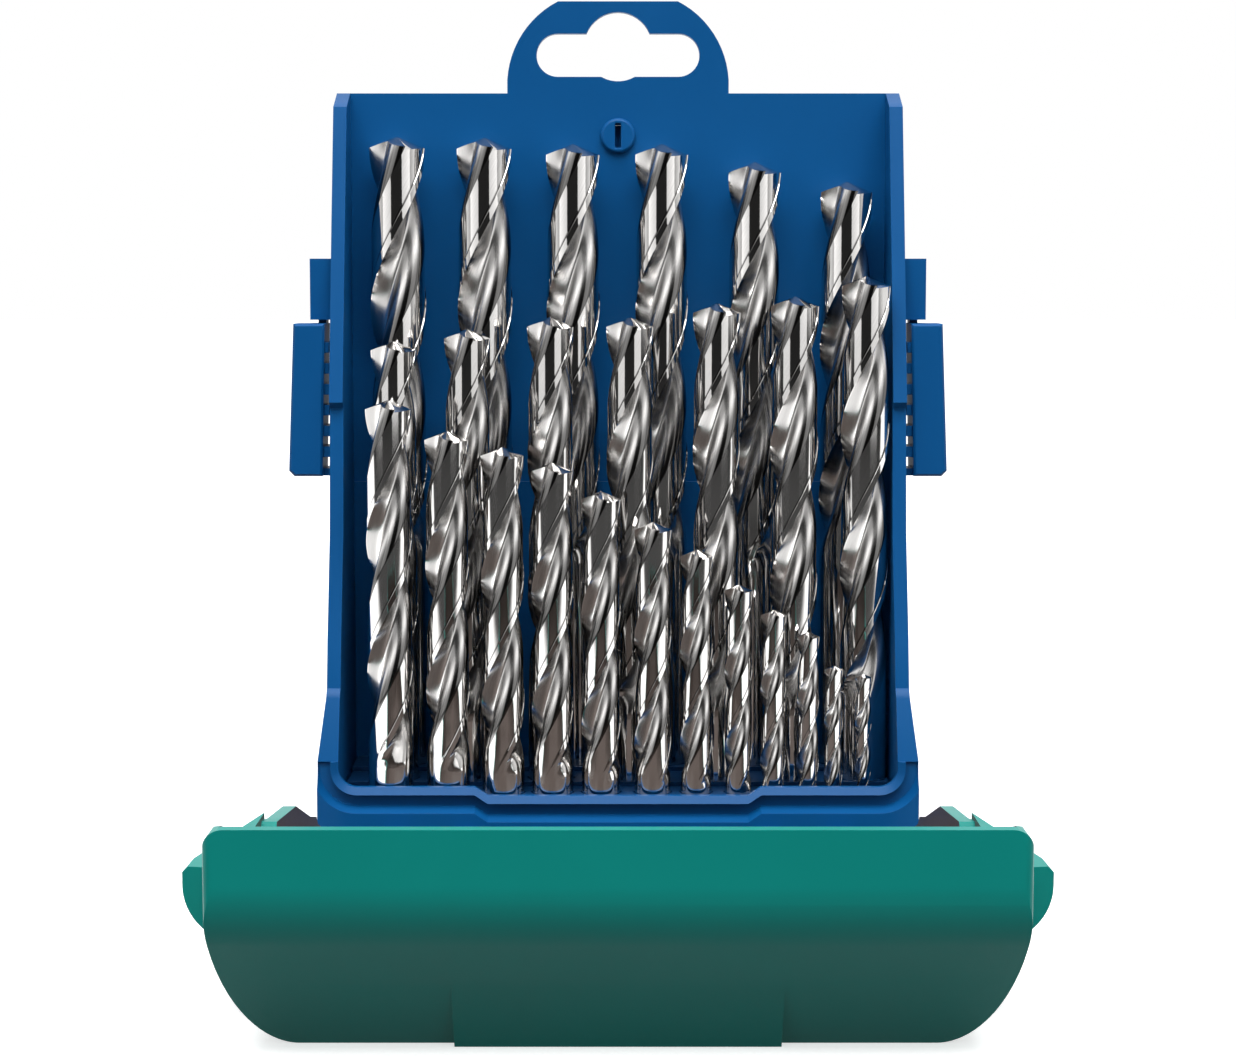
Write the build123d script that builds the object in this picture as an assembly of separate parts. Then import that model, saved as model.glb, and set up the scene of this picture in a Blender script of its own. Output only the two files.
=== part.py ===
from build123d import *
import os
from math import atan, cos, pi, radians, sin, tan

# Drill bit case, standing open: a blue rear shell that holds three rows of
# twist drills, and a lid that is hinged at its foot and folds forward.
#
# Millimetres. While a piece is drawn, Y runs from the front (-Y) to the back
# (+Y) with Y = -forward, where forward is measured from the front edge of the
# shell's side walls near their top. Z is up from the surface that the case
# stands on. place() then centres the whole case on the origin.

# Rear shell
SHELL_HALF = 63.5  # half the width over the side walls
WALL = 3.0  # side walls
BACK_OUTER = -10.0  # forward places of the back wall's faces
BACK_INNER = -7.5
SHELL_TOP = 163.5
FLOOR = 2.5
FLARE_HALF = 65.0  # half the width over the tray at the foot
FLARE_LOW, FLARE_HIGH = 18.0, 31.0
STEP_TOP = 75.6  # top of the thicker lower back wall
STEP_THICK = 0.6

# The front edge of the shell's side walls, as (forward, height) from the top
# down. The lid's rim meets it, so one list shapes both.
PARTING = [
    (0.6, 160), (7.0, 133.8), (15.8, 94.8), (14.1, 93.6), (17.0, 66),
    (23.9, 43), (26, 33), (28, 31), (30, 25), (32.3, FLARE_LOW),
]

# Tray front, and the section of its stepped edge as (outward from the lip's
# edge, forward)
TRAY_FRONT = 34.0
TRAY_BACK = 30.9
TRAY_SILL = 1.0
LIP_TOP = 12.4
LIP_SECTION = [
    (0, 28.9), (0, 32.4), (1.6, 33.4), (1.6, 31.6), (4.2, 31.6), (5.5, TRAY_FRONT),
    (14, TRAY_FRONT), (14, 28.9),
]
LIP_RADIUS = 4.0  # inner corner of the lip, seen from the front
DIP = 1.9  # the middle of the tray front is this much lower
DIP_HALF, DIP_HALF_LOW = 31.0, 28.2

# Hanging tab
TAB_TOP = 184.0
TAB_BASE_HALF, TAB_TOP_HALF = 25.0, 13.5
TAB_SHOULDER = 166.5  # where the tab's straight foot ends
SLOT_HALF, SLOT_LOW, SLOT_HIGH = 18.4, 167.2, 176.8
SLOT_ARC, SLOT_RISE = 7.7, 4.8  # the keyhole arc above the slot
TAB_SIDE = (21.3, 177.2)  # a point on the tab's curved side

# Snap stud in the back wall
STUD_HEIGHT = 154.0
STUD_HEAD_R, STUD_SHANK_R, STUD_SLOT = 3.95, 2.4, 1.3
STUD_PROUD = 1.3
STUD_CHAMFER = 0.5
STUD_SLOT_HALF = 2.8  # half the length of its slot
STUD_FIT = 0.05

# Lid hinge, at the foot of the tray. Closed, a point of the lid at (forward,
# height) stands at (CLOSED_DEPTH - height, forward - CLOSED_RISE).
HINGE_FORWARD, HINGE_HEIGHT, KNUCKLE_R = 38.1, 1.9, 1.9
PIN_R = 1.0
HINGE_X = 40.0  # middle of each hinge
LID_KNUCKLE, SHELL_KNUCKLE, KNUCKLE_GAP = 9.4, 5.0, 0.3
SHELL_FIT, LID_FIT = 0.02, 0.06  # play round the pin
CLOSED_DEPTH = HINGE_FORWARD + HINGE_HEIGHT
CLOSED_RISE = HINGE_FORWARD - HINGE_HEIGHT

# Lid, lying open with its main face down
LID_HALF = 63.5
LID_WALL = 2.5
LID_END, LID_NEAR = 40.4, 199.3  # outer faces of its end walls
LID_BEND = 179.5  # where the main face turns up
LID_CORNER_Z = 24.5
LID_NEAR_RADIUS = 16.0
LID_CORNER_HINGE = (10.9, 10.9)  # its lower corners: across and up at the hinge end,
LID_CORNER_NEAR = (12.5, LID_CORNER_Z)  # and at the near end
LID_END_RADIUS = 1.5  # upright corners
LID_TOP = 39.1
LID_TOP_RADIUS = 3.3  # top corners of the near wall, seen from the front
LID_FOOT, LID_FOOT_END = 5.0, 54.5  # the low rim beside the hinge
RIM_GAP = 0.3  # between the rim and the shell's edge when closed
OPEN_TOP = 60.0  # the lid is drawn up to here before its rim is cut
BUMP_FROM, BUMP_TO = 124.0, 170.0
BUMP_OUT, BUMP_TOP, BUMP_EDGE = 71.6, 26.4, 23.2
BUMP_ROUND, BUMP_CORNER = 9.1, 1.0
BUMP_FAR_SLANT, BUMP_NEAR_SLANT = 44.0, 1.5  # how far its ends run out to the wall
RAMP_HALF, RAMP_REACH, RAMP_RISE = 26.2, 2.2, 12.0  # ramp on the sloped face

# Side latches
LATCH_PIVOT_X, LATCH_PIVOT_Z = 66.1, 115.2
LATCH_PIN_R, LATCH_FIT = 1.15, 0.05
LATCH_BACK, LATCH_FRONT = 1.0, 12.5
LATCH_TOP, LATCH_FOOT = 112.0, 78.3
LATCH_OUTLINE = [(64.7, LATCH_TOP), (71.6, LATCH_TOP), (72.9, LATCH_FOOT + 1.2),
                 (71.7, LATCH_FOOT), (65.5, LATCH_FOOT)]
LATCH_CHAMFER = 0.5
RIB_IN, RIB_OUT = 63.9, 66.2  # the ribs on its inner edge
RIBS, RIB_FOOT, RIB_HEAD, RIB_SHARE = 6, 4.2, 1.8, 0.5
RIB_BACK, RIB_FRONT = LATCH_BACK + 1.0, LATCH_FRONT - 1.2
FINGER_OUT, FINGER_HIGH = 68.0, 1.6  # the finger lip at its foot
FINGER_FRONT = LATCH_FRONT - 2.4
NECK_BACK, NECK_FRONT = -1.2, 3.2
NECK_IN, NECK_OUT, NECK_R, NECK_DEEP = 65.2, 67.0, 1.35, 4.0
TRUNNION = 1.7  # length of each pivot pin outside the neck
POCKET_IN, POCKET_OUT, POCKET_TOP, POCKET_FIT = 64.5, 67.8, 117.2, 0.2
HOUSING_OUT, HOUSING_LOW, HOUSING_HIGH = 68.4, 112.8, 126.3
HOUSING_BACK, HOUSING_FRONT = -5.0, 7.0

# Drill holder and its three rows of drills: forward place, top of the
# terrace, share of the drill that is fluted, and for each drill its place
# across the case, its diameter and the height of its point. The drills are
# read one by one, because neither spacing nor length follows a rule.
HOLDER_HALF = 60.0
HOLDER_BACK, HOLDER_FRONT = -6.7, 30.5
SOCKET_FIT = 0.1
SOCKET_SIDES = 10
ROWS = {
    "back": (-0.2, 12.0, 0.63, [
        (-49.4, 12.5, 153.5), (-29.9, 12.3, 153.3), (-10.1, 12.0, 151.9),
        (9.8, 11.8, 151.9), (30.6, 11.7, 147.9), (51.2, 11.5, 143.5)]),
    "middle": (13.7, 11.0, 0.80, [
        (-49.4, 10.0, 108.3), (-33.2, 10.1, 110.9), (-14.9, 10.2, 113.5),
        (2.6, 10.3, 113.5), (21.7, 10.4, 116.6), (38.9, 10.5, 118.1), (54.5, 10.6, 122.5)]),
    "front": (25.3, 10.0, 0.86, [
        (-49.7, 9.9, 95.9), (-37.1, 9.5, 89.2), (-25.1, 9.3, 85.7), (-14.3, 9.0, 82.3),
        (-3.7, 8.5, 76.1), (7.6, 8.0, 69.4), (17.1, 7.0, 63.4), (26.3, 6.0, 55.7),
        (33.9, 5.5, 50.2), (41.5, 4.8, 45.3), (47.1, 4.0, 37.9), (53.6, 3.5, 36.1)]),
}
TERRACE_EDGES = [HOLDER_BACK, 6.9, 19.3, HOLDER_FRONT]

# Twist drills: proportions of the diameter, and angles in degrees
HELIX_PITCH = 5.8
POINT_SLOPE = tan(radians(22.5))  # a 135 degree point
LAND_HALF_ANGLE = 38.0
LIP_ANGLE = -33.0  # middle of a land at the point's shoulder, from +X
WEB_RADIUS = 0.135
RUN_OUT = 1.3  # length over which the flutes come up to the shank
TWIST_STEP = 60.0  # twist between two rings of facets

CENTRE_FORWARD = (BACK_OUTER + LID_NEAR) / 2


def place(piece):
    """Centre the case on the origin, front towards -Y."""
    return Pos(0, CENTRE_FORWARD, 0) * piece


def side_prism(points, x_from, x_to):
    """Extrude an outline of (forward, height) points across the case."""
    ring = Polyline([(x_from, -forward, height) for forward, height in points], close=True)
    return extrude(make_face(ring), amount=x_to - x_from, dir=(1, 0, 0))


def front_prism(points, back, front):
    """Extrude an outline of (x, height) points from back to front."""
    ring = Polyline([(x, -back, height) for x, height in points], close=True)
    return extrude(make_face(ring), amount=front - back, dir=(0, -1, 0))


def block(x_from, x_to, back, front, low, high):
    size = (x_to - x_from, front - back, high - low)
    middle = ((x_from + x_to) / 2, -(back + front) / 2, (low + high) / 2)
    return Pos(*middle) * Box(*size)


def rod_across(radius, x_from, x_to, forward, height):
    """A round bar along X."""
    bar = Cylinder(radius, x_to - x_from)
    return Pos((x_from + x_to) / 2, -forward, height) * Rot(0, 90, 0) * bar


def rod_forward(radius, back, front, x, height):
    """A round bar along Y."""
    return Pos(x, -(back + front) / 2, height) * Rot(90, 0, 0) * Cylinder(radius, front - back)


def both_sides(piece):
    return piece + mirror(piece, about=Plane.YZ)


# --- rear shell -------------------------------------------------------------

def shell_walls():
    """The back, the side walls with their stepped front edge, and the floor."""
    side = [(BACK_OUTER, 0), (BACK_OUTER, SHELL_TOP), (BACK_INNER, SHELL_TOP)] + PARTING
    side += [(TRAY_BACK, FLARE_LOW - 1), (TRAY_BACK, 0)]
    front = [(FLARE_HALF, 0), (FLARE_HALF, FLARE_LOW), (SHELL_HALF, FLARE_HIGH),
             (SHELL_HALF, SHELL_TOP)]
    front += [(-x, z) for x, z in reversed(front)]
    walls = side_prism(side, -FLARE_HALF, FLARE_HALF) & front_prism(front, BACK_OUTER, TRAY_FRONT)
    inner = SHELL_HALF - WALL
    walls -= block(-inner, inner, BACK_INNER, TRAY_FRONT + 1, FLOOR, SHELL_TOP + 1)
    step = block(-inner, inner, BACK_INNER, BACK_INNER + STEP_THICK, FLOOR, STEP_TOP)
    return walls + step


def tray_front():
    """The low front wall, whose stepped edge dips in the middle and turns up at the sides."""
    inner = SHELL_HALF - WALL
    corner_x, corner_z = inner - LIP_RADIUS, LIP_TOP + LIP_RADIUS
    stations = [(-corner_x, 0), (-DIP_HALF, 0), (-DIP_HALF_LOW, DIP),
                (DIP_HALF_LOW, DIP), (DIP_HALF, 0), (corner_x, 0)]
    rings = [
        make_face(Polyline([(x, -f, LIP_TOP - drop - n) for n, f in LIP_SECTION], close=True))
        for x, drop in stations
    ]
    bar = loft(rings, ruled=True)
    ring = Polyline([(corner_x, -f, LIP_TOP - n) for n, f in LIP_SECTION], close=True)
    turn = revolve(make_face(ring), Axis((corner_x, 0, corner_z), (0, -1, 0)), 90)
    upright = Polyline([(inner + n, -f, corner_z) for n, f in LIP_SECTION], close=True)
    rise = extrude(make_face(upright), amount=FLARE_LOW - corner_z, dir=(0, 0, 1))
    whole = bar + both_sides(turn + rise)
    limit = block(-FLARE_HALF, FLARE_HALF, TRAY_BACK, TRAY_FRONT, 0, FLARE_LOW)
    sill = block(-FLARE_HALF, FLARE_HALF, TRAY_BACK, TRAY_FRONT, 0, TRAY_SILL)
    return (whole & limit) + sill


def hanging_tab():
    """The tab over the back wall, with concave shoulders and a keyhole slot."""
    low, shoulder = SHELL_TOP - 1, TAB_SHOULDER
    right = [
        Line((TAB_BASE_HALF, low), (TAB_BASE_HALF, shoulder)),
        ThreePointArc((TAB_BASE_HALF, shoulder), TAB_SIDE, (TAB_TOP_HALF, TAB_TOP)),
    ]
    left = [mirror(edge, about=Plane.YZ) for edge in right]
    ends = [Line((TAB_TOP_HALF, TAB_TOP), (-TAB_TOP_HALF, TAB_TOP)),
            Line((-TAB_BASE_HALF, low), (TAB_BASE_HALF, low))]
    outline = make_face(right + left + ends)
    height = SLOT_HIGH - SLOT_LOW
    slot = Pos(0, (SLOT_LOW + SLOT_HIGH) / 2) * SlotOverall(2 * SLOT_HALF, height)
    slot += Pos(0, SLOT_HIGH + SLOT_RISE - SLOT_ARC) * Circle(SLOT_ARC)
    flat = outline - slot
    upright = Plane(origin=(0, -BACK_INNER, 0), x_dir=(1, 0, 0), z_dir=(0, -1, 0))
    return extrude(upright * flat, amount=BACK_OUTER - BACK_INNER)


def latch_housing():
    """The block on the right side wall whose pocket holds the latch's pivot."""
    housing = block(SHELL_HALF - 1, HOUSING_OUT, HOUSING_BACK, HOUSING_FRONT,
                    HOUSING_LOW, HOUSING_HIGH)
    housing -= block(POCKET_IN, POCKET_OUT, NECK_BACK - POCKET_FIT, NECK_FRONT + POCKET_FIT,
                     HOUSING_LOW - 1, POCKET_TOP)
    reach = TRUNNION + POCKET_FIT
    housing -= rod_forward(LATCH_PIN_R + LATCH_FIT, NECK_BACK - reach, NECK_FRONT + reach,
                           LATCH_PIVOT_X, LATCH_PIVOT_Z)
    return housing


def knuckle(start, end, root):
    """A hinge knuckle on an arm as thick as itself, which reaches to root."""
    arm = sorted((root, HINGE_FORWARD))
    barrel = rod_across(KNUCKLE_R, start, end, HINGE_FORWARD, HINGE_HEIGHT)
    low, high = HINGE_HEIGHT - KNUCKLE_R, HINGE_HEIGHT + KNUCKLE_R
    return barrel + block(start, end, *arm, low, high)


def shell_knuckles():
    """The two pairs of knuckles on arms from the foot of the tray."""
    inner = LID_KNUCKLE / 2 + KNUCKLE_GAP
    outer = inner + SHELL_KNUCKLE
    pair = knuckle(HINGE_X - outer, HINGE_X - inner, TRAY_BACK)
    pair += knuckle(HINGE_X + inner, HINGE_X + outer, TRAY_BACK)
    pair -= rod_across(PIN_R + SHELL_FIT, HINGE_X - outer - 1, HINGE_X + outer + 1,
                       HINGE_FORWARD, HINGE_HEIGHT)
    return both_sides(pair)


def rear_shell():
    shell = shell_walls() + tray_front() + hanging_tab()
    shell += both_sides(latch_housing())
    shell += shell_knuckles()
    shell -= rod_forward(STUD_SHANK_R + STUD_FIT, BACK_OUTER - 1, BACK_INNER + 1, 0, STUD_HEIGHT)
    return shell


def snap_stud():
    """A split push-in stud: a shank through the back wall under a round head."""
    stud = rod_forward(STUD_SHANK_R, BACK_OUTER + 0.2, BACK_INNER + 0.1, 0, STUD_HEIGHT)
    head = rod_forward(STUD_HEAD_R, BACK_INNER, BACK_INNER + STUD_PROUD, 0, STUD_HEIGHT)
    stud += chamfer(head.edges().group_by(Axis.Y)[0], STUD_CHAMFER)
    half = STUD_SLOT / 2
    return stud - block(-half, half, BACK_OUTER + 1, BACK_INNER + 3,
                        STUD_HEIGHT - STUD_SLOT_HALF, STUD_HEIGHT + STUD_SLOT_HALF)


# --- lid --------------------------------------------------------------------

def corner_waste(plane, half, radius, reach):
    """What rounding takes off the corner at x = half, y = 0 of a bar along a plane's normal."""
    side, spare = half + 1, 1
    bow = radius * (1 - sin(pi / 4))
    square = Polyline([(half, radius), (side, radius), (side, -spare),
                       (half - radius, -spare), (half - radius, 0)])
    round_off = ThreePointArc((half - radius, 0), (half - bow, bow), (half, radius))
    return extrude(plane * make_face([square, round_off]), amount=reach, both=True)


def lid_section(forward, corner, inset):
    """Half of the lid's section, whose lower corner is a quarter of an ellipse."""
    across, up = corner
    half, bend = LID_HALF - inset, LID_HALF - across
    outline = [
        Line((0, inset), (bend, inset)),
        EllipticalCenterArc((bend, up), across - inset, up - inset, 270, arc_size=90),
        Line((half, up), (half, OPEN_TOP)), Line((half, OPEN_TOP), (0, OPEN_TOP)),
        Line((0, OPEN_TOP), (0, inset)),
    ]
    plane = Plane(origin=(0, -forward, 0), x_dir=(1, 0, 0), z_dir=(0, -1, 0))
    return plane * make_face(outline)


def lid_body(inset):
    """The right half of the lid's form without its rim cut, every face moved in by inset.

    It is what three forms share: the outline from the side, the plan, and a
    section whose lower corner grows from the hinge to the near end.
    """
    slope = atan(LID_CORNER_Z / (LID_NEAR - LID_BEND))
    half = LID_HALF - inset
    wall, end = LID_NEAR - inset, LID_END + inset
    bend = LID_BEND - inset * tan(slope / 2)
    corner = (wall - bend) * tan(slope) + inset
    tangent = (LID_NEAR_RADIUS - inset) * tan((pi / 2 - slope) / 2)
    low = (wall - tangent * cos(slope), corner - tangent * sin(slope))
    high = (wall, corner + tangent)
    outline = [
        Line((end, inset), (bend, inset)), Line((bend, inset), low),
        TangentArc([low, high], tangent=(cos(slope), sin(slope))),
        Line(high, (wall, OPEN_TOP)), Line((wall, OPEN_TOP), (end, OPEN_TOP)),
        Line((end, OPEN_TOP), (end, inset)),
    ]
    sideways = Plane(origin=(0, 0, 0), x_dir=(0, -1, 0), z_dir=(-1, 0, 0))
    side = extrude(sideways * make_face(outline), amount=LID_HALF + 1, dir=(1, 0, 0))
    plan = Pos(half / 2, -(end + wall) / 2) * Rectangle(half, wall - end)
    if LID_END_RADIUS > inset:
        corners = plan.vertices().group_by(Axis.X)[-1]
        plan = fillet(corners, LID_END_RADIUS - inset)
    plan = extrude(plan, amount=OPEN_TOP)
    sections = [lid_section(LID_END - 1, LID_CORNER_HINGE, inset),
                lid_section(LID_NEAR + 1, LID_CORNER_NEAR, inset)]
    return (side & plan) & loft(sections, ruled=True)


def lid_rim_cut(half):
    """Everything above the lid's rim, which is the shell's front edge turned down."""
    rim = [(LID_END - 5, LID_FOOT), (LID_FOOT_END, LID_FOOT)]
    rim += [(max(height + CLOSED_RISE, LID_FOOT_END), CLOSED_DEPTH - forward - RIM_GAP)
            for forward, height in reversed(PARTING)]
    rim += [(LID_NEAR + 5, LID_TOP), (LID_NEAR + 5, OPEN_TOP + 1), (LID_END - 5, OPEN_TOP + 1)]
    return side_prism(rim, -half, half)


def lid_bump():
    """The finger ledge on the right side wall: round underneath, and a wedge in plan."""
    root = BUMP_OUT - BUMP_ROUND
    across = BUMP_ROUND * sin(pi / 4)
    edges = Polyline([(root, BUMP_EDGE - BUMP_ROUND), (root, BUMP_TOP),
                      (BUMP_OUT - BUMP_CORNER, BUMP_TOP), (BUMP_OUT, BUMP_TOP - BUMP_CORNER),
                      (BUMP_OUT, BUMP_EDGE)])
    under = ThreePointArc((BUMP_OUT, BUMP_EDGE), (root + across, BUMP_EDGE - across),
                          (root, BUMP_EDGE - BUMP_ROUND))
    front = Plane(origin=(0, -BUMP_FROM, 0), x_dir=(1, 0, 0), z_dir=(0, -1, 0))
    ledge = extrude(front * make_face([edges, under]), amount=BUMP_TO - BUMP_FROM)
    proud = BUMP_OUT - LID_HALF
    for end, slant in ((BUMP_FROM, BUMP_FAR_SLANT), (BUMP_TO, -BUMP_NEAR_SLANT)):
        wedge = Polyline([(LID_HALF - proud, -end + slant, 0), (LID_HALF + 2 * proud, -end + slant, 0),
                          (LID_HALF + 2 * proud, -end - 2 * slant, 0)], close=True)
        ledge -= extrude(make_face(wedge), amount=BUMP_TOP + 1, dir=(0, 0, 1))
    return ledge - lid_rim_cut(LID_HALF + RIM_GAP)


def slope_ramp():
    """Half of the plain raised ramp that runs out up the middle of the sloped face."""
    slope = atan(LID_CORNER_Z / (LID_NEAR - LID_BEND))
    section = [(LID_BEND - 1, 0), (LID_BEND + RAMP_REACH, 0),
               (LID_BEND + RAMP_RISE / tan(slope), RAMP_RISE),
               (LID_BEND + RAMP_RISE / tan(slope) - 1, RAMP_RISE)]
    return side_prism(section, 0, RAMP_HALF)


def lid():
    """The lid, drawn as its right half."""
    downward = Plane(origin=(0, 0, LID_TOP), x_dir=(1, 0, 0), z_dir=(0, 1, 0))
    half = lid_body(0) - corner_waste(downward, LID_HALF, LID_TOP_RADIUS, LID_NEAR + 1)
    half -= lid_body(LID_WALL)
    half -= lid_rim_cut(LID_HALF + 1)
    half += lid_bump() + slope_ramp()
    start, end = HINGE_X - LID_KNUCKLE / 2, HINGE_X + LID_KNUCKLE / 2
    half += knuckle(start, end, LID_END + 1)
    half -= rod_across(PIN_R + LID_FIT, start - 1, end + 1, HINGE_FORWARD, HINGE_HEIGHT)
    return both_sides(half)


def hinge_pin(x):
    reach = LID_KNUCKLE / 2 + KNUCKLE_GAP + SHELL_KNUCKLE
    return rod_across(PIN_R, x - reach, x + reach, HINGE_FORWARD, HINGE_HEIGHT)


# --- latches ----------------------------------------------------------------

def latch():
    """The right-hand latch: a ribbed tab hanging from two short trunnions."""
    tab = front_prism(LATCH_OUTLINE, LATCH_BACK, LATCH_FRONT)
    tab = chamfer(tab.edges().group_by(Axis.Y)[0], LATCH_CHAMFER)
    first, last = LATCH_FOOT + RIB_FOOT, LATCH_TOP - RIB_HEAD
    pitch = (last - first) / RIBS
    for index in range(RIBS):
        low = first + index * pitch
        tab += block(RIB_IN, RIB_OUT, RIB_BACK, RIB_FRONT, low, low + pitch * RIB_SHARE)
    tab += block(RIB_IN, FINGER_OUT, RIB_BACK, FINGER_FRONT, LATCH_FOOT, LATCH_FOOT + FINGER_HIGH)
    tab += block(NECK_IN, NECK_OUT, NECK_BACK, NECK_FRONT, LATCH_TOP - NECK_DEEP, LATCH_PIVOT_Z)
    tab += rod_forward(NECK_R, NECK_BACK, NECK_FRONT, LATCH_PIVOT_X, LATCH_PIVOT_Z)
    tab += rod_forward(LATCH_PIN_R, NECK_BACK - TRUNNION, NECK_FRONT + TRUNNION,
                       LATCH_PIVOT_X, LATCH_PIVOT_Z)
    return tab


# --- drills and their holder ------------------------------------------------

def drill_holder():
    """A terraced block with a through socket for each drill."""
    holder = None
    for (forward, top, share, drills), back, front in zip(
            ROWS.values(), TERRACE_EDGES, TERRACE_EDGES[1:]):
        terrace = block(-HOLDER_HALF, HOLDER_HALF, back, front, FLOOR, top)
        for x, diameter, tip in drills:
            hole = RegularPolygon(diameter / 2 + SOCKET_FIT, SOCKET_SIDES, major_radius=False)
            terrace -= extrude(Pos(x, -forward, FLOOR) * hole, amount=top)
        holder = terrace if holder is None else holder + terrace
    return holder


def flute_ring(radius, height, twist, web, point=0.0):
    """Eight corners of the fluted section: two lands of three and two flute bottoms."""
    half = LAND_HALF_ANGLE
    corners = []
    for side in (0, 180):
        for angle, reach in ((-half, radius), (0, radius), (half, radius), (90, web)):
            turned = radians(angle + side + twist)
            corners.append((reach * cos(turned), reach * sin(turned), height - point * reach))
    return corners


def fluted_length(diameter, low, high):
    """The twisted part of a drill, as flat facets between turned sections."""
    radius, web = diameter / 2, diameter * WEB_RADIUS
    shoulder = high - POINT_SLOPE * radius
    turn = 360 / (HELIX_PITCH * diameter)
    steps = round((shoulder - low) * turn / TWIST_STEP)
    rings = []
    for index in range(steps):
        height = low + (shoulder - low) * index / steps
        ramp = min(1.0, (height - low) / (RUN_OUT * diameter))
        reach = radius + (web - radius) * ramp
        rings.append(flute_ring(radius, height, LIP_ANGLE + turn * (height - shoulder), reach))
    rings.append(flute_ring(radius, high, LIP_ANGLE, web, POINT_SLOPE))
    faces = []
    for lower, upper in zip(rings, rings[1:]):
        for a in range(8):
            b = (a + 1) % 8
            faces.append(Face(Wire.make_polygon([lower[a], lower[b], upper[b]])))
            faces.append(Face(Wire.make_polygon([lower[a], upper[b], upper[a]])))
    tip = (0, 0, high)
    faces += [Face(Wire.make_polygon([rings[-1][a], rings[-1][(a + 1) % 8], tip]))
              for a in range(8)]
    faces.append(Face(Wire.make_polygon(rings[0])))
    return Solid(Shell(faces))


def twist_drill(diameter, length, share):
    """A drill standing on its shank at the origin."""
    flutes_from = length * (1 - share)
    shank = Cylinder(diameter / 2, flutes_from, align=(Align.CENTER, Align.CENTER, Align.MIN))
    return shank + fluted_length(diameter, flutes_from, length)


def drills():
    """Each drill of each row, by name, standing on the shell's floor."""
    found = {}
    for row, (forward, top, share, sizes) in ROWS.items():
        for index, (x, diameter, tip) in enumerate(sizes, 1):
            drill = twist_drill(diameter, tip - FLOOR, share)
            found[f"drill_{row}_{index}"] = Pos(x, -forward, FLOOR) * drill
    return found


# --- the whole case ---------------------------------------------------------

def build():
    right = latch()
    pieces = {
        "rear_shell": rear_shell(),
        "snap_stud": snap_stud(),
        "lid": lid(),
        "hinge_pin_left": hinge_pin(-HINGE_X),
        "hinge_pin_right": hinge_pin(HINGE_X),
        "latch_left": mirror(right, about=Plane.YZ),
        "latch_right": right,
        "drill_holder": drill_holder(),
    }
    pieces.update(drills())
    return {name: place(piece) for name, piece in pieces.items()}


os.makedirs("parts", exist_ok=True)
for name, piece in build().items():
    export_step(piece, f"parts/{name}.step")
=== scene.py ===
"""Dress the drill bit case: moulded plastic, ground steel drills and the studio.

Laid out as a Blender add-on and run as a script. Sizes are metres, in the
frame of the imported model: +X across the case, -Y to the front, +Z up.
"""

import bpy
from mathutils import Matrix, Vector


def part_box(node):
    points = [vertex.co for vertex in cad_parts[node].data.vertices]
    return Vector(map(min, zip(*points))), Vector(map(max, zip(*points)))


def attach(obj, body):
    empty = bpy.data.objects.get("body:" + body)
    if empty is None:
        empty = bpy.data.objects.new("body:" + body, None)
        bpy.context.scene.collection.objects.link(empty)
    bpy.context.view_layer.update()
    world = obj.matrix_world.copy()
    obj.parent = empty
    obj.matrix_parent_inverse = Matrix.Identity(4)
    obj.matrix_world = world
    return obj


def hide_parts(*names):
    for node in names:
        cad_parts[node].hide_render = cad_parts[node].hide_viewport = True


bl_info = {
    "name": "Drill bit case",
    "version": (1, 0, 0),
    "blender": (4, 5, 0),
    "location": "View3D > Sidebar > Drill case",
    "description": "Dresses a hinged drill bit case and its twist drills",
    "category": "Add Mesh",
}

from math import pi, radians

import bmesh
import bpy
import numpy as np
from mathutils import Vector

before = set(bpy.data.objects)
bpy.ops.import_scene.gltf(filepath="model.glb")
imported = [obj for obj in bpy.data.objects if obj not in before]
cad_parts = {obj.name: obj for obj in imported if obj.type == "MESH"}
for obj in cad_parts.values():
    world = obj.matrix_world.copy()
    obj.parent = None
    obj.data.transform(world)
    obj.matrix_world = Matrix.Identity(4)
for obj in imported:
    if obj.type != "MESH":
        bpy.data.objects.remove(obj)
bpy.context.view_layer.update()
MM = 0.001

# The drills of each row, and the share of their length that is fluted.
FLUTED = {"drill_back": 0.63, "drill_middle": 0.80, "drill_front": 0.86}
DRILLS = sorted(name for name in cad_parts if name.startswith(tuple(FLUTED)))


# --- settings ---------------------------------------------------------------

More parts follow.
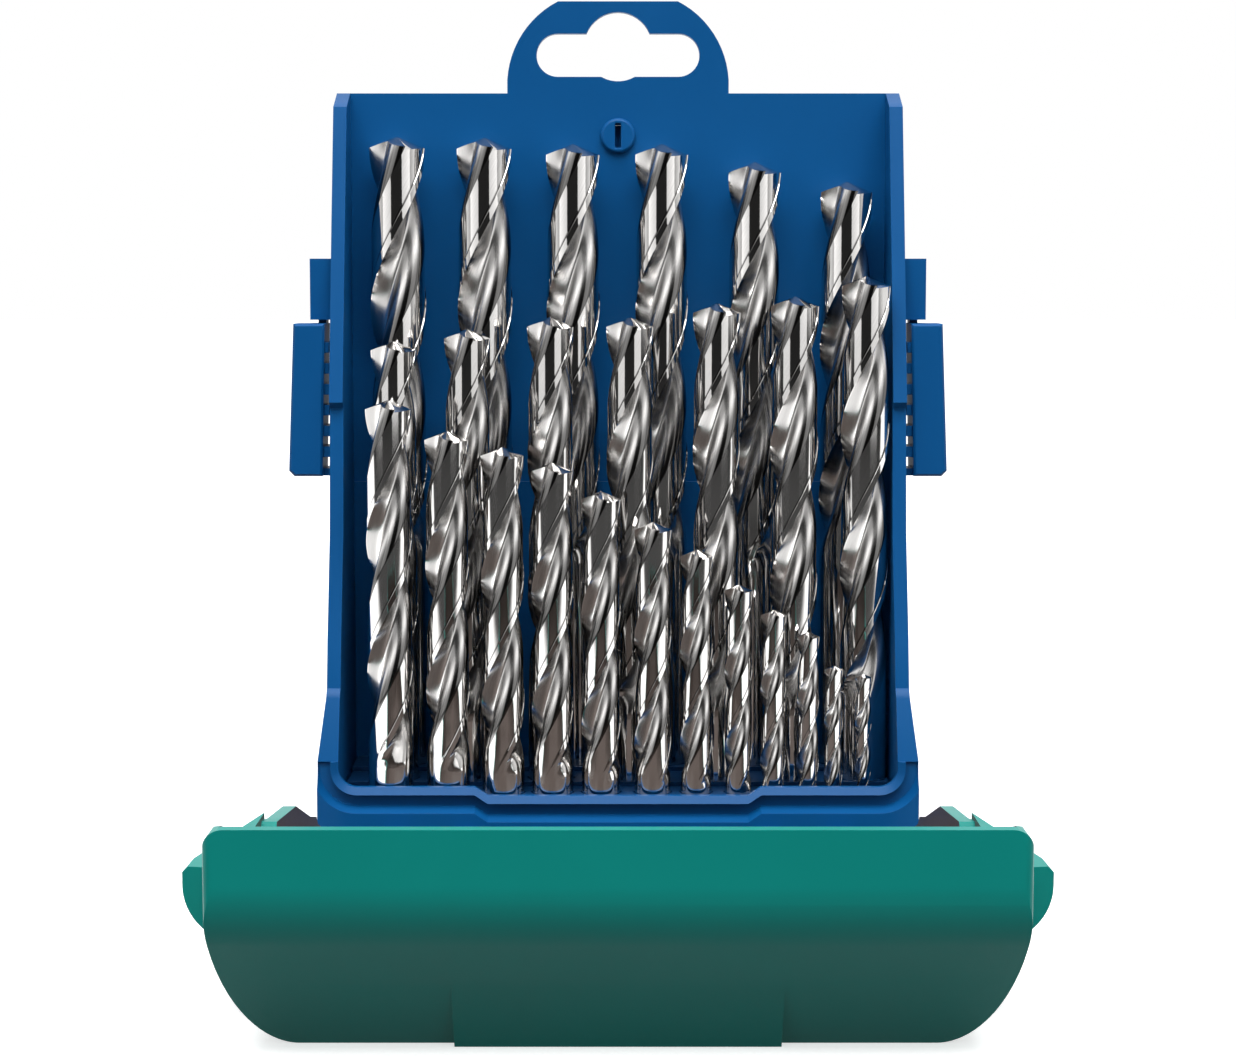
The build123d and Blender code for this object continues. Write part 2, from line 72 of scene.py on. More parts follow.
class CASE_PG_plastic(bpy.types.PropertyGroup):
    """Colours and finish of the mouldings."""

    shell: bpy.props.FloatVectorProperty(
        name="Shell", description="Blue of the shell, its latches and its stud",
        subtype="COLOR", default=(0.0022, 0.073, 0.230))
    # painted shade: the socket block's blue is darker than the shell's, as the shade among the
    # drills
    holder: bpy.props.FloatVectorProperty(
        name="Holder", description="Dark blue of the socket block",
        subtype="COLOR", default=(0.003, 0.03, 0.095))
    lid: bpy.props.FloatVectorProperty(
        name="Lid", description="Green of the lid",
        subtype="COLOR", default=(0.003, 0.225, 0.196))
    # painted shade: the lid's inner faces get a darker brown grey instead of the lid's green
    inner_shade: bpy.props.FloatVectorProperty(
        name="Lining", description="Brown grey of the lid's inner faces",
        subtype="COLOR", default=(0.095, 0.076, 0.068))
    roughness: bpy.props.FloatProperty(
        name="Roughness", description="Roughness of the moulded skin",
        default=0.38, min=0.0, max=1.0)
    specular: bpy.props.FloatProperty(
        name="Specular", description="Strength of the skin's reflection",
        default=0.14, min=0.0, max=1.0)
    grain: bpy.props.FloatProperty(
        name="Grain", description="Spacing of the fine moulded grain",
        default=0.35 * MM, unit="LENGTH")
    edge: bpy.props.FloatProperty(
        name="Edge radius", description="Rounding of the shell's edges",
        default=0.35 * MM, unit="LENGTH")
    rim: bpy.props.FloatProperty(
        name="Lid edge radius", description="Rounding of the lid's edges",
        default=1.1 * MM, unit="LENGTH")
    latch_edge: bpy.props.FloatProperty(
        name="Latch edge radius", description="Rounding of the latches' edges",
        default=0.22 * MM, unit="LENGTH")
    stud_edge: bpy.props.FloatProperty(
        name="Stud edge radius", description="Rounding of the stud's edges",
        default=0.2 * MM, unit="LENGTH")
    holder_edge: bpy.props.FloatProperty(
        name="Holder edge", description="Bevel of the socket block's edges",
        default=0.25 * MM, unit="LENGTH")


class CASE_PG_drill(bpy.types.PropertyGroup):
    """Form and finish of the twist drills, as shares of their diameter."""

    pitch: bpy.props.FloatProperty(
        name="Pitch", description="Length of one turn of the flutes, in diameters", default=5.8)
    web: bpy.props.FloatProperty(
        name="Web", description="Thickness of the web between the flutes, in diameters",
        default=0.38)
    land: bpy.props.FloatProperty(
        name="Land", description="Half the angle of a land", default=radians(36),
        subtype="ANGLE")
    margin: bpy.props.FloatProperty(
        name="Margin", description="Angle of the raised margin along a land's leading edge",
        default=radians(13), subtype="ANGLE")
    clearance: bpy.props.FloatProperty(
        name="Clearance", description="Depth of the ground body behind the margin, in diameters",
        default=0.02)
    lip: bpy.props.FloatProperty(
        name="Lip", description="Angle of a land's middle at the point's shoulder, from +X",
        default=radians(-31), subtype="ANGLE")
    steel: bpy.props.FloatVectorProperty(
        name="Steel", description="Colour of the ground steel", subtype="COLOR",
        default=(0.72, 0.705, 0.69))
    roughness: bpy.props.FloatProperty(
        name="Roughness", description="Roughness of the polished lands", default=0.07)
    flute_roughness: bpy.props.FloatProperty(
        name="Flute roughness", description="Roughness at the bottom of a flute", default=0.26)


class CASE_PG_stage(bpy.types.PropertyGroup):
    """Camera, floor and lamps."""

    lens: bpy.props.FloatProperty(name="Lens", description="Focal length in millimetres",
                                  default=76.25)
    eye: bpy.props.FloatVectorProperty(
        name="Eye", description="Place of the camera", subtype="XYZ",
        default=(0.0, -0.49605, 0.1238))
    pitch: bpy.props.FloatProperty(
        name="Pitch", description="How far the camera looks down", subtype="ANGLE",
        default=radians(5.64))
    ambient: bpy.props.FloatProperty(
        name="Ambient", description="Strength of the soft light, most of it from above",
        default=0.24)
    rear: bpy.props.FloatProperty(
        name="Rear light", description="Strength of the soft light from behind", default=0.6)
    front_dark: bpy.props.FloatProperty(
        name="Dark room", description="Strength of the room in front, as a gloss sees it",
        default=0.02)
    key: bpy.props.FloatProperty(
        name="Key lamp", description="Power of the soft overhead lamp in watts", default=28.0)
    sides: bpy.props.FloatProperty(
        name="Side lamps", description="Power of each tall side lamp in watts", default=4.8)
    bounce: bpy.props.FloatProperty(
        name="Floor bounce", description="Tone of the floor as it lights the case",
        default=0.04)


# --- node groups ------------------------------------------------------------

def new_group(name, colour, numbers):
    """A shader group from a colour and numbers to a colour, a roughness and a normal.

    Gives the group and its input node.
    """
    tree = bpy.data.node_groups.new(name, "ShaderNodeTree")
    sockets = [("Colour", "Color", "INPUT"), *((label, "Float", "INPUT") for label in numbers),
               ("Colour", "Color", "OUTPUT"), ("Roughness", "Float", "OUTPUT"),
               ("Normal", "Vector", "OUTPUT")]
    defaults = {"Colour": (*colour, 1), **numbers}
    for label, kind, way in sockets:
        socket = tree.interface.new_socket(name=label, in_out=way,
                                           socket_type="NodeSocket" + kind)
        if way == "INPUT":
            socket.default_value = defaults[label]
    return tree, tree.nodes.new("NodeGroupInput")


def close_group(tree, colour, roughness, normal):
    """Link a group's three results to its output node."""
    end = tree.nodes.new("NodeGroupOutput")
    for label, result in (("Colour", colour), ("Roughness", roughness), ("Normal", normal)):
        tree.links.new(result, end.inputs[label])
    return tree


def node(tree, kind, links=None, **settings):
    """Add a node, set its fields and link its inputs: {input: socket or value}."""
    made = tree.nodes.new("ShaderNode" + kind)
    for key, value in settings.items():
        setattr(made, key, value)
    for key, value in (links or {}).items():
        socket = made.inputs[key]
        if isinstance(value, bpy.types.NodeSocket):
            tree.links.new(value, socket)
        else:
            socket.default_value = value
    return made


def math_node(tree, operation, a, b=0.0, clamp=False):
    """The result of one operation on two values or sockets."""
    return node(tree, "Math", {0: a, 1: b}, operation=operation, use_clamp=clamp).outputs[0]


def ranged(tree, value, low, high, start=0.0, end=1.0):
    """Low where value is at start or before it, high from end on, and even between."""
    return node(tree, "MapRange", {"Value": value, "From Min": start, "From Max": end,
                                   "To Min": low, "To Max": high}).outputs[0]


def grey(tree, value):
    """A colour whose three channels are the value."""
    return node(tree, "CombineXYZ", {0: value, 1: value, 2: value}).outputs[0]


def toned(tree, colour, tone):
    """The colour times the tone."""
    return node(tree, "VectorMath", {0: colour, 1: grey(tree, tone)},
                operation="MULTIPLY").outputs[0]


def moulded_group():
    """Moulded plastic skin: fine grain for the normal, faint flow in tone and roughness."""
    tree, start = new_group("Moulded skin", (0.1, 0.1, 0.1),
                            {"Grain": 0.0004, "Depth": 0.00002, "Roughness": 0.4})
    place = node(tree, "TexCoord").outputs["Object"]
    scale = math_node(tree, "DIVIDE", 1.0, start.outputs["Grain"])
    grain = node(tree, "TexNoise", {"Vector": place, "Scale": scale, "Detail": 2.0})
    flow = node(tree, "TexNoise", {"Vector": place, "Scale": 28.0, "Detail": 4.0,
                                   "Roughness": 0.55, "Distortion": 0.6})
    colour = toned(tree, start.outputs["Colour"],
                   ranged(tree, flow.outputs["Fac"], 0.93, 1.07))
    rough = math_node(tree, "ADD", start.outputs["Roughness"],
                      ranged(tree, flow.outputs["Fac"], -0.05, 0.05))
    rough = math_node(tree, "ADD", rough, ranged(tree, grain.outputs["Fac"], -0.04, 0.04),
                      clamp=True)
    bump = node(tree, "Bump", {"Strength": 0.35, "Distance": start.outputs["Depth"],
                               "Height": grain.outputs["Fac"]})
    return close_group(tree, colour, rough, bump.outputs[0])


def ground_group():
    """Ground steel: fine lines, painted highlights and painted shade up the helix, duller in the
    flutes.

    The flute attribute is the depth below the land, 1 at the web, and reaches
    its full dullness at a third of that. The tone attribute, which holds the
    painted highlights and painted shade, scales the colour.
    """
    tree, start = new_group("Ground steel", (0.6, 0.6, 0.6),
                            {"Lines": 220.0, "Depth": 0.00001, "Roughness": 0.1,
                             "Flute roughness": 0.26})
    uv = node(tree, "UVMap", uv_map="section").outputs[0]
    stretch = node(tree, "Mapping", {"Vector": uv, "Scale": (1.0, 0.04, 1.0)})
    lines = node(tree, "TexNoise", {"Vector": stretch.outputs[0], "Scale": start.outputs["Lines"],
                                    "Detail": 3.0, "Roughness": 0.6})
    flute = node(tree, "Attribute", attribute_name="flute").outputs["Fac"]
    tone = node(tree, "Attribute", attribute_name="tone").outputs["Fac"]
    line_tone = ranged(tree, lines.outputs["Fac"], 0.9, 1.06, start=0.3, end=0.7)
    # the tone holds painted highlights and painted shade
    colour = toned(tree, start.outputs["Colour"], math_node(tree, "MULTIPLY", tone, line_tone))
    dull = ranged(tree, flute, start.outputs["Roughness"], start.outputs["Flute roughness"],
                  end=0.35)
    rough = math_node(tree, "ADD", dull, ranged(tree, lines.outputs["Fac"], -0.03, 0.03),
                      clamp=True)
    bump = node(tree, "Bump", {"Strength": 0.12, "Distance": start.outputs["Depth"],
                               "Height": lines.outputs["Fac"]})
    return close_group(tree, colour, rough, bump.outputs[0])


def material(name, group, values, metallic=0.0, specular=0.5):
    """A Principled material whose colour, roughness and normal come from a group."""
    made = bpy.data.materials.new(name)
    made.use_nodes = True
    tree = made.node_tree
    shader = tree.nodes["Principled BSDF"]
    shader.inputs["Metallic"].default_value = metallic
    shader.inputs["Specular IOR Level"].default_value = specular
    placed = tree.nodes.new("ShaderNodeGroup")
    placed.node_tree = group
    for key, value in values.items():
        placed.inputs[key].default_value = value
    tree.links.new(placed.outputs["Colour"], shader.inputs["Base Color"])
    tree.links.new(placed.outputs["Roughness"], shader.inputs["Roughness"])
    tree.links.new(placed.outputs["Normal"], shader.inputs["Normal"])
    return made


def plastic(name, colour):
    """Moulded plastic of a colour, made once."""
    settings = bpy.context.scene.case_plastic
    skin = bpy.data.node_groups.get("Moulded skin") or moulded_group()
    return bpy.data.materials.get(name) or material(
        name, skin, {"Colour": (*colour, 1.0), "Grain": settings.grain,
                     "Roughness": settings.roughness}, specular=settings.specular)


def drill_steel():
    """The ground steel of the drills and pins, made once."""
    settings = bpy.context.scene.case_drill
    return bpy.data.materials.get("ground steel") or material(
        "ground steel", ground_group(),
        {"Colour": (*settings.steel, 1.0), "Roughness": settings.roughness,
         "Flute roughness": settings.flute_roughness}, metallic=1.0)


# --- mesh helpers -----------------------------------------------------------

def grid_piece(name, points, uv=None, attributes=None, wrap=True):
    """A mesh from an array of rows x columns x 3 points; the columns close into a ring."""
    rows, columns, _ = points.shape
    mesh = bpy.data.meshes.new(name)
    index = np.arange(rows * columns).reshape(rows, columns)
    along, around = index[:-1], index[1:]
    if wrap:
        quads = np.stack([along, np.roll(along, -1, 1), np.roll(around, -1, 1), around], -1)
    else:
        quads = np.stack([along[:, :-1], along[:, 1:], around[:, 1:], around[:, :-1]], -1)
    quads = quads.reshape(-1, 4)
    mesh.from_pydata(points.reshape(-1, 3).tolist(), [], quads.tolist())
    if uv is not None:
        layer = mesh.uv_layers.new(name="section")
        corner = uv.reshape(-1, 2)[quads.reshape(-1)]
        # the last column's right-hand corners belong to the next turn, not to the first column
        seam = quads[:, 0] % columns == columns - 1
        corner = corner.reshape(-1, 4, 2)
        corner[seam, 1, 0] += 1.0
        corner[seam, 2, 0] += 1.0
        layer.data.foreach_set("uv", corner.reshape(-1).astype(np.float32))
    for label, values in (attributes or {}).items():
        layer = mesh.attributes.new(label, "FLOAT", "POINT")
        layer.data.foreach_set("value", values.reshape(-1).astype(np.float32))
    mesh.validate()
    mesh.update()
    piece = bpy.data.objects.new(name, mesh)
    bpy.context.scene.collection.objects.link(piece)
    return piece


def shade(piece, angle):
    """Smooth shading with sharp edges where faces meet at more than an angle."""
    mesh = piece.data
    mesh.polygons.foreach_set("use_smooth", [True] * len(mesh.polygons))
    mesh.set_sharp_from_angle(angle=angle)


def weld(mesh, distance=0.001 * MM, flat=None):
    """Merge doubled points, so that poles and seams close, and faces that meet within flat."""
    form = bmesh.new()
    form.from_mesh(mesh)
    bmesh.ops.remove_doubles(form, verts=form.verts, dist=distance)
    if flat is not None:
        bmesh.ops.dissolve_limit(form, angle_limit=flat, verts=form.verts, edges=form.edges)
    form.to_mesh(mesh)
    form.free()


def moulding(name, source, radius, finish, segments=3, limit=radians(28), flat=radians(0.6)):
    """A copy of a CAD node, merged into flat faces, with its edges rounded.

    Faces that meet within the angle flat become one, and an edge is rounded
    where they meet at more than limit.
    """
    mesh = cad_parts[source].data.copy()
    mesh.materials.clear()
    piece = bpy.data.objects.new(name, mesh)
    bpy.context.scene.collection.objects.link(piece)
    weld(mesh, 0.002 * MM, flat)
    if mesh.has_custom_normals:
        mesh.attributes.remove(mesh.attributes["custom_normal"])
    bevel = piece.modifiers.new("Edge", "BEVEL")
    bevel.width = radius
    bevel.segments = segments
    bevel.limit_method = "ANGLE"
    bevel.angle_limit = limit
    normals = piece.modifiers.new("Flat faces", "WEIGHTED_NORMAL")
    normals.keep_sharp = True
    shade(piece, radians(30))
    mesh.materials.append(finish)
    return piece


def seat(piece, body, slot, *nodes):
    """The piece rides on a body and stands for CAD nodes. The slot is not used."""
    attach(piece, body)
    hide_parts(*nodes)


# --- pieces -----------------------------------------------------------------

class CASE_OT_shell(bpy.types.Operator):
    """Round the shell's edges and give it the blue moulded skin"""

    bl_idname = "drillcase.shell"
    bl_label = "Rear shell"

    def execute(self, context):
        settings = context.scene.case_plastic
        blue = plastic("blue moulded plastic", settings.shell)
        piece = moulding("rear_shell_moulding", "rear_shell", settings.edge, blue)
        seat(piece, "case", "blue_shell", "rear_shell")
        stud = moulding("snap_stud_moulding", "snap_stud", settings.stud_edge, blue)
        seat(stud, "case", "blue_shell", "snap_stud")
        return {"FINISHED"}


class CASE_OT_lid(bpy.types.Operator):
    """Round the lid's edges and give it the green moulded skin"""

    bl_idname = "drillcase.lid"
    bl_label = "Lid"

    def execute(self, context):
        settings = context.scene.case_plastic
        green = plastic("green moulded plastic", settings.lid)
        piece = moulding("lid_moulding", "lid", settings.rim, green, flat=radians(0.1))
        # the second material paints shade on the lid's inner faces as a darker brown grey
        piece.data.materials.append(plastic("brown grey moulded plastic", settings.inner_shade))
        paint_inside_shade(piece, "lid")
        seat(piece, "lid", "green_lid", "lid")
        return {"FINISHED"}


def paint_inside_shade(piece, source):
    """Give the second material, a darker brown grey that paints shade, to the faces that look
    into the piece's hollow.

    Such a face points towards the middle of the CAD node's box, and its centre
    lies further inside the box than the rim does.
    """
    low, high = (np.array(corner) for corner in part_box(source))
    faces = piece.data.polygons
    centre, normal = np.empty((len(faces), 3)), np.empty((len(faces), 3))
    faces.foreach_get("center", centre.reshape(-1))
    faces.foreach_get("normal", normal.reshape(-1))
    inward = np.sum(normal * ((low + high) / 2 - centre), axis=1) > 0
    rim = 0.6 * MM
    within = np.all((centre > low + rim) & (centre < high - rim), axis=1)
    faces.foreach_set("material_index", (inward & within).astype(np.int32))


class CASE_OT_latches(bpy.types.Operator):
    """Dress the two ribbed latches"""

    bl_idname = "drillcase.latches"
    bl_label = "Latches"

    def execute(self, context):
        settings = context.scene.case_plastic
        blue = plastic("blue moulded plastic", settings.shell)
        for side in ("left", "right"):
            name = "latch_" + side
            piece = moulding(name + "_moulding", name, settings.latch_edge, blue, segments=2)
            seat(piece, name, "blue_latch", name)
        return {"FINISHED"}


class CASE_OT_holder(bpy.types.Operator):
    """Dress the socket block and the hinge pins"""

    bl_idname = "drillcase.holder"
    bl_label = "Drill holder and pins"

    def execute(self, context):
        settings = context.scene.case_plastic
        # the socket block's darker blue is painted shade among the drills
        dark = plastic("dark moulded plastic", settings.holder)
        piece = moulding("drill_holder_moulding", "drill_holder", settings.holder_edge, dark,
                         segments=1, limit=radians(50))
        seat(piece, "case", "holder_plastic", "drill_holder")
        steel = drill_steel()
        for side in ("left", "right"):
            name = "hinge_pin_" + side
            low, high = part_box(name)
            pin = hinge_pin(name + "_wire", low, high)
            pin.data.materials.append(steel)
            seat(pin, "case", "pin_steel", name)
        return {"FINISHED"}


def hinge_pin(name, low, high):
    """A round wire along X whose ends are rounded over: the radius falls as a quarter circle."""
    radius = (high.z - low.z) / 2
    rounded = 0.3
    quarter = np.linspace(0, pi / 2, 5)
    end_radius = radius * (1 - rounded + rounded * np.cos(quarter))
    reach = rounded * radius * (1 - np.sin(quarter))
    along = np.concatenate([[low.x], low.x + reach[::-1], high.x - reach, [high.x]])
    thick = np.concatenate([[0], end_radius[::-1], end_radius, [0]])
    turn = np.linspace(0, 2 * pi, 24, endpoint=False)
    middle = (low + high) / 2
    points = np.stack(np.broadcast_arrays(
        along[:, None], middle.y + thick[:, None] * np.cos(turn),
        middle.z + thick[:, None] * np.sin(turn)), -1)
    uv = np.stack(np.broadcast_arrays(turn / (2 * pi), along[:, None] / LINE_LENGTH), -1)
    plain = np.ones(points.shape[:2])
    piece = grid_piece(name, points, uv, {"flute": 0 * plain, "tone": plain})
    weld(piece.data)
    shade(piece, radians(40))
    return piece


# --- twist drills -----------------------------------------------------------

LINE_LENGTH = 0.05      # length along a drill or pin of one unit of its UV map

# The section, whose lengths are shares of the diameter.
COLUMNS = 96            # points round it
LAND_COLUMNS = 0.36     # share of them on the lands
MARGIN_COLUMNS = 4
STEP_ANGLE = 0.03       # of the step behind a margin, in radians
# painted shadow: the tone of the steel on the step behind a margin
STEP_SHADOW = 0.05        # of the steel there
GATHER = 0.11           # how far a flute's points gather at its edges
BELLY_FROM = 0.30       # share of the way across a flute, from the leading edge
BELLY_POWER = 1.35      # a lower one makes a fuller belly
BLEND_POWER = 9.0       # a higher one makes a sharper bottom
# painted highlights: two bright streaks in each flute's colour that stand in for reflections
FLUTE_HIGHLIGHTS = ((0.95, 0.30, 0.10), (0.85, 0.68, 0.08))  # brightness, middle and width in a flute

# The drill's length, in diameters.
RUN_OUT = 1.3           # of the flutes into the shank
BLEND_IN = 0.25         # from the last plain ring to the shoulder
CONE = 0.414            # fall of a point of 135 degrees for each unit of radius
RELIEF = 0.12           # further fall from a lip to the heel behind it
CHAMFER = 0.06          # height of the one at the shank's foot
CHAMFER_RADIUS = 0.45   # the foot's radius


def flute_section(settings):
    """Angle, radius, depth and tone round the fluted section, in diameters, for two lands.

    The land is a lowered body, then a full-radius margin at its leading edge.
    The flute falls from the leading edge along a straight line that passes the
    axis at half the web, and rises to the heel along a full, rounded belly; the
    two are joined by a smooth maximum, so that they blend at the web.
    Two painted highlights run up a flute, each a bell curve across it, and
    the step behind a margin gets a painted shadow.
    """
    half = COLUMNS // 2
    count = int(half * LAND_COLUMNS)
    lead, web = settings.land, settings.web / 2
    low = 0.5 - settings.clearance
    step = lead - settings.margin
    body = np.linspace(-lead, step - STEP_ANGLE, count - MARGIN_COLUMNS)
    margin = np.linspace(step, lead, MARGIN_COLUMNS)
    across = np.linspace(0, 1, half - count + 2)[1:-1]
    across = across - GATHER * np.sin(2 * pi * across)
    flute = across * (pi - 2 * lead)
    rake = web / np.sin(flute + np.arcsin(settings.web))
    belly = np.clip((across - BELLY_FROM) / (1 - BELLY_FROM), 0, 1)
    heel = web + (low - web) * np.sin(belly * pi / 2) ** BELLY_POWER
    fall = (rake ** BLEND_POWER + heel ** BLEND_POWER) ** (1 / BLEND_POWER)
    fall = np.minimum(fall, 0.5)
    angles = np.concatenate([body, margin, lead + flute])
    radius = np.concatenate([np.full(len(body), low), np.full(MARGIN_COLUMNS, 0.5), fall])
    depth = np.concatenate([np.zeros(count), (0.5 - fall) / (0.5 - web)])
    land = np.ones(count)
    # the step behind the margin gets a painted shadow
    land[len(body) - 1] = STEP_SHADOW
    # between its painted highlights a flute gets painted shade, darker towards the heel
    ground = 0.40 - 0.20 * across + 0.25 * (1 - across) ** 2
    # add the painted highlights
    for brightness, middle, width in FLUTE_HIGHLIGHTS:
        ground = ground + brightness * np.exp(-((across - middle) / width) ** 2)
    tone = np.concatenate([land, ground])
    angles = np.concatenate([angles, angles + pi])
    return angles, np.tile(radius, 2), np.tile(depth, 2), np.tile(tone, 2)


def twist_drill(diameter, length, fluted, settings):
    """Points, UV, flute depth and tone, the painted highlights and shade, of a drill on the Z
    axis.

    It is rings of one section turned up a right-hand helix. The section's
    radius blends from a plain shank to the fluted section over the run-out. The
    last rings close in on the axis over a cone of 135 degrees whose surface
    falls away behind each lip.
    """
    angles, section, depth, tone = flute_section(settings)
    turn = 2 * pi / (settings.pitch * diameter)
    start = length - fluted
    shoulder = length - 0.5 * CONE * diameter
    below = shoulder - BLEND_IN * diameter
    steps = int(np.ceil((below - start) * turn / radians(5)))
    heights = np.concatenate([[0, 0, CHAMFER * diameter, start / 2, start],
                              np.linspace(start, below, steps)[1:]])
    ramp = np.clip((heights - start) / (RUN_OUT * diameter), 0, 1)
    ramp = ramp * ramp * (3 - 2 * ramp)
    radius = 0.5 + (section - 0.5) * ramp[:, None]
    radius[0] = 0
    radius[1] = CHAMFER_RADIUS
    behind = settings.land - (angles + settings.land) % pi + settings.land
    drop = CONE + RELIEF * np.clip(behind / (2 * settings.land), 0, 1)
    rim = length - diameter * section * drop
    climb = np.linspace(0, 1, 5)[1:, None]
    inward = np.linspace(1, 0, 9)[1:, None]
    heights = np.concatenate([
        np.broadcast_to(heights[:, None], radius.shape), below + (rim - below) * climb,
        length - diameter * inward * section * drop])
    radius = np.concatenate([
        radius, np.broadcast_to(section, (len(climb), COLUMNS)), inward * section])
    full = np.concatenate([ramp, np.ones(len(climb)), np.zeros(len(inward))])[:, None]
    twist = turn * (np.clip(np.minimum(heights, rim), start, None) - shoulder)
    around = angles + settings.lip + twist
    spread = radius * diameter
    points = np.stack([spread * np.cos(around), spread * np.sin(around), heights], -1)
    share = np.broadcast_to(angles / (2 * pi), radius.shape)
    uv = np.stack([share, heights / LINE_LENGTH], -1)
    return points, uv, depth * full, 1 + (tone - 1) * full


class CASE_OT_drills(bpy.types.Operator):
    """Replace each drill with a finely turned one in ground steel"""

    bl_idname = "drillcase.drills"
    bl_label = "Twist drills"

    def execute(self, context):
        settings = context.scene.case_drill
        steel = drill_steel()
        for name in DRILLS:
            low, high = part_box(name)
            diameter, length = high.x - low.x, high.z - low.z
            fluted = length * FLUTED[name.rsplit("_", 1)[0]]
            points, uv, flute, tone = twist_drill(diameter, length, fluted, settings)
            middle = (low + high) / 2
            points += np.array([middle.x, middle.y, low.z])
            piece = grid_piece(name + "_ground", points, uv, {"flute": flute, "tone": tone})
            weld(piece.data)
            shade(piece, radians(32))
            piece.data.materials.append(steel)
            seat(piece, name, "drill_steel", name)
        return {"FINISHED"}


# --- stage ------------------------------------------------------------------

WHITE = (1, 1, 1, 1)
FLOOR_X = (-5.0, 5.0)
FLOOR_Y = (-4.0, 6.0)
AIM = (0, 0.04, 0.08)  # the point that the lamps face

# Each lamp's name, the setting for its power, its place, its width and its height.
LAMPS = (
    ("overhead", "key", (0.0, -0.50, 1.25), 1.3, 0.8),
    ("left", "sides", (-0.85, -0.80, 0.62), 0.95, 1.7),
    ("right", "sides", (0.80, -0.85, 0.62), 0.95, 1.7),
)


def seen_directly(tree, mirrored=1.0):
    """1 for rays from the camera, mirrored for a gloss or a glass, and 0 for the soft light."""
    path = node(tree, "LightPath")
    gloss = math_node(tree, "MAXIMUM", path.outputs["Is Glossy Ray"],
                      path.outputs["Is Transmission Ray"])
    gloss = math_node(tree, "MULTIPLY", gloss, mirrored)
    return math_node(tree, "MAXIMUM", path.outputs["Is Camera Ray"], gloss)


def floor_material(bounce):
    """White where it is seen, with the shadow kept, and a duller bounce on the case.

    A gloss sees it go dark towards the front, as it does the room. Away from
    the case it glows more, so that it stays white past the lamps' reach.
    """
    made = bpy.data.materials.new("pale floor")
    made.use_nodes = True
    tree = made.node_tree
    shader = tree.nodes["Principled BSDF"]
    where = node(tree, "TexCoord").outputs["Object"]
    forward = node(tree, "SeparateXYZ", {0: where}).outputs["Y"]
    seen = seen_directly(tree, ranged(tree, forward, 0.0, 1.0, start=-0.22, end=-0.11))
    away = node(tree, "VectorMath", {0: where}, operation="LENGTH").outputs["Value"]
    glow = math_node(tree, "MULTIPLY", seen, ranged(tree, away, 0.62, 1.0, start=0.3, end=0.9))
    tree.links.new(grey(tree, ranged(tree, seen, bounce, 0.7)), shader.inputs["Base Color"])
    tree.links.new(glow, shader.inputs["Emission Strength"])
    shader.inputs["Emission Color"].default_value = WHITE
    shader.inputs["Roughness"].default_value = 1.0
    shader.inputs["Specular IOR Level"].default_value = 0.0
    return made


def studio_floor():
    """A flat rectangle at no height, from one corner of its ranges in X and Y to the other."""
    x, y = np.meshgrid(FLOOR_X, FLOOR_Y)
    return grid_piece("studio_floor", np.stack([x, y, 0 * x], -1), wrap=False)


def studio_world(settings):
    """A white room, lit from above and behind; a gloss sees it dark in front of the case."""
    world = bpy.data.worlds.new("studio")
    world.use_nodes = True
    tree = world.node_tree
    way = node(tree, "SeparateXYZ", {0: node(tree, "TexCoord").outputs["Generated"]})
    back, up = way.outputs["Y"], way.outputs["Z"]
    shown = seen_directly(tree, ranged(tree, back, settings.front_dark, 1.0,
                                       start=-0.9, end=-0.1))
    level, overhead = 0.2, 1.6  # shares of the ambient light
    above = ranged(tree, up, level * settings.ambient, overhead * settings.ambient, end=0.7)
    rear = ranged(tree, back, 0.0, settings.rear, end=0.8)
    hidden = math_node(tree, "SUBTRACT", 1.0, seen_directly(tree))
    soft = math_node(tree, "MULTIPLY", hidden, math_node(tree, "ADD", above, rear))
    background = tree.nodes["Background"]
    tree.links.new(math_node(tree, "ADD", shown, soft), background.inputs["Strength"])
    background.inputs["Color"].default_value = WHITE
    return world


def lamp(name, power, place, width, height):
    """A rectangular area lamp that faces the case."""
    data = bpy.data.lights.new(name, "AREA")
    data.energy = power
    data.shape = "RECTANGLE"
    data.size = width
    data.size_y = height
    made = bpy.data.objects.new(name, data)
    made.location = place
    made.rotation_euler = (Vector(AIM) - Vector(place)).to_track_quat("-Z", "Y").to_euler()
    bpy.context.scene.collection.objects.link(made)


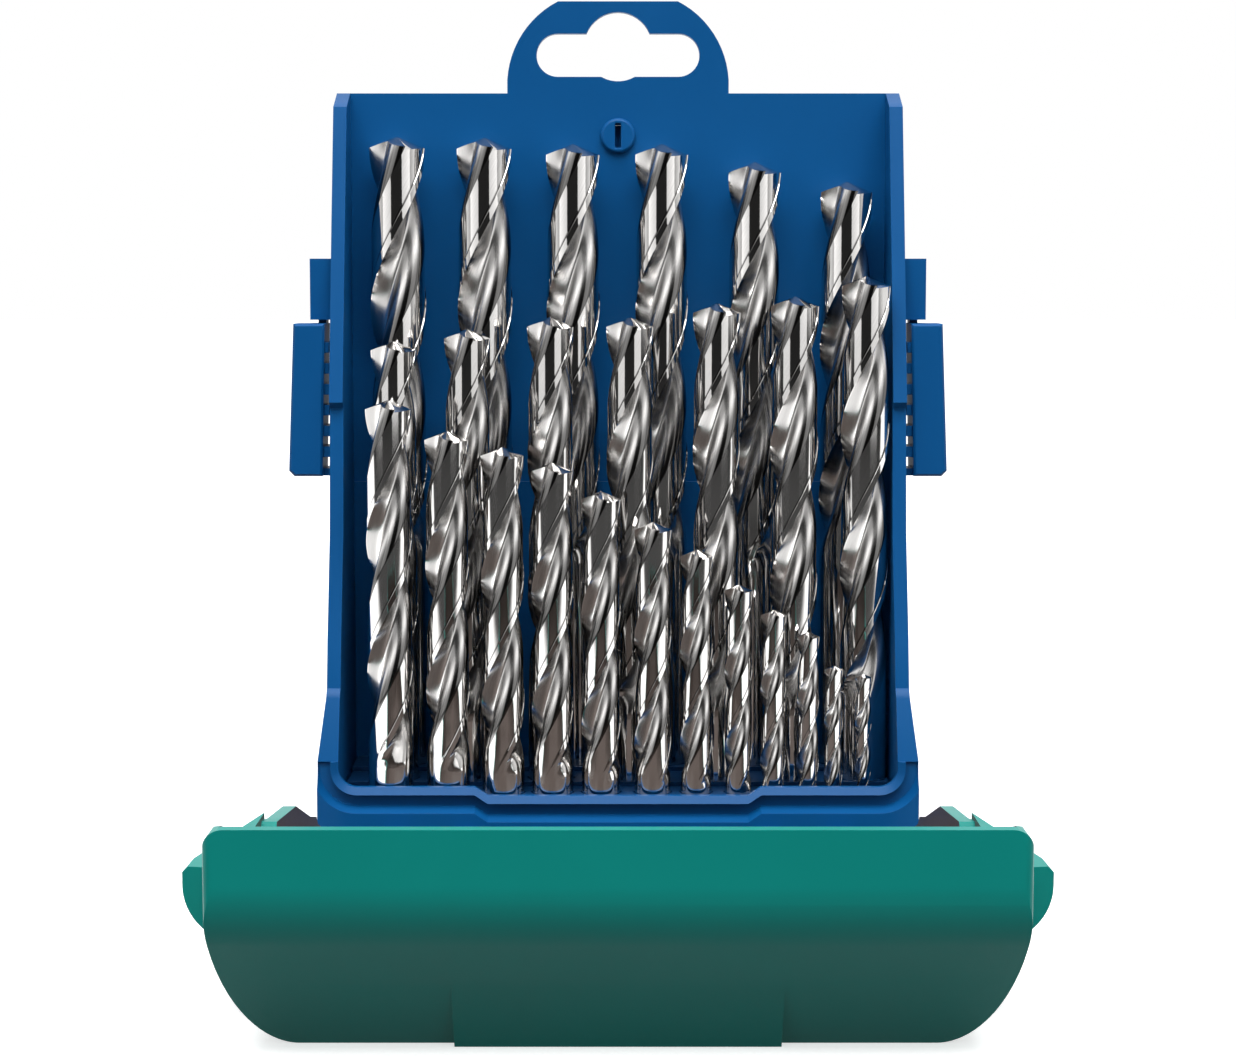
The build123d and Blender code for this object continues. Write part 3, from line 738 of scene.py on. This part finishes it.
class CASE_OT_stage(bpy.types.Operator):
    """Set the camera, the pale floor and the soft lamps"""

    bl_idname = "drillcase.stage"
    bl_label = "Stage"

    def execute(self, context):
        scene = context.scene
        settings = scene.case_stage
        floor = studio_floor()
        floor.data.materials.append(floor_material(settings.bounce))
        scene.world = studio_world(settings)
        for name, power, place, width, height in LAMPS:
            lamp(name, getattr(settings, power), place, width, height)
        data = bpy.data.cameras.new("view")
        data.lens = settings.lens
        data.sensor_width = 36.0
        data.clip_start = 0.01
        camera = bpy.data.objects.new("view", data)
        camera.location = settings.eye
        camera.rotation_euler = (pi / 2 - settings.pitch, 0, 0)
        scene.collection.objects.link(camera)
        scene.camera = camera
        scene.view_settings.view_transform = "Standard"
        return {"FINISHED"}


class CASE_PT_panel(bpy.types.Panel):
    """Buttons for each piece and the stage"""

    bl_idname = "CASE_PT_panel"
    bl_label = "Drill case"
    bl_space_type = "VIEW_3D"
    bl_region_type = "UI"
    bl_category = "Drill case"

    def draw(self, context):
        for operator in OPERATORS:
            self.layout.operator(operator.bl_idname)


GROUPS = {"case_plastic": CASE_PG_plastic, "case_drill": CASE_PG_drill,
          "case_stage": CASE_PG_stage}
OPERATORS = (CASE_OT_shell, CASE_OT_lid, CASE_OT_latches, CASE_OT_holder, CASE_OT_drills,
             CASE_OT_stage)


def register():
    """Register the classes and hang the settings on the scene."""
    for group in GROUPS.values():
        bpy.utils.register_class(group)
    for operator in OPERATORS:
        bpy.utils.register_class(operator)
    bpy.utils.register_class(CASE_PT_panel)
    for name, group in GROUPS.items():
        setattr(bpy.types.Scene, name, bpy.props.PointerProperty(type=group))


def unregister():
    """Take the settings and the classes away again."""
    for name in GROUPS:
        delattr(bpy.types.Scene, name)
    bpy.utils.unregister_class(CASE_PT_panel)
    for operator in reversed(OPERATORS):
        bpy.utils.unregister_class(operator)
    for group in GROUPS.values():
        bpy.utils.unregister_class(group)


def main():
    """Make every piece and the stage."""
    register()
    for operator in OPERATORS:
        part, action = operator.bl_idname.split(".")
        getattr(getattr(bpy.ops, part), action)()


if __name__ == "__main__":
    main()
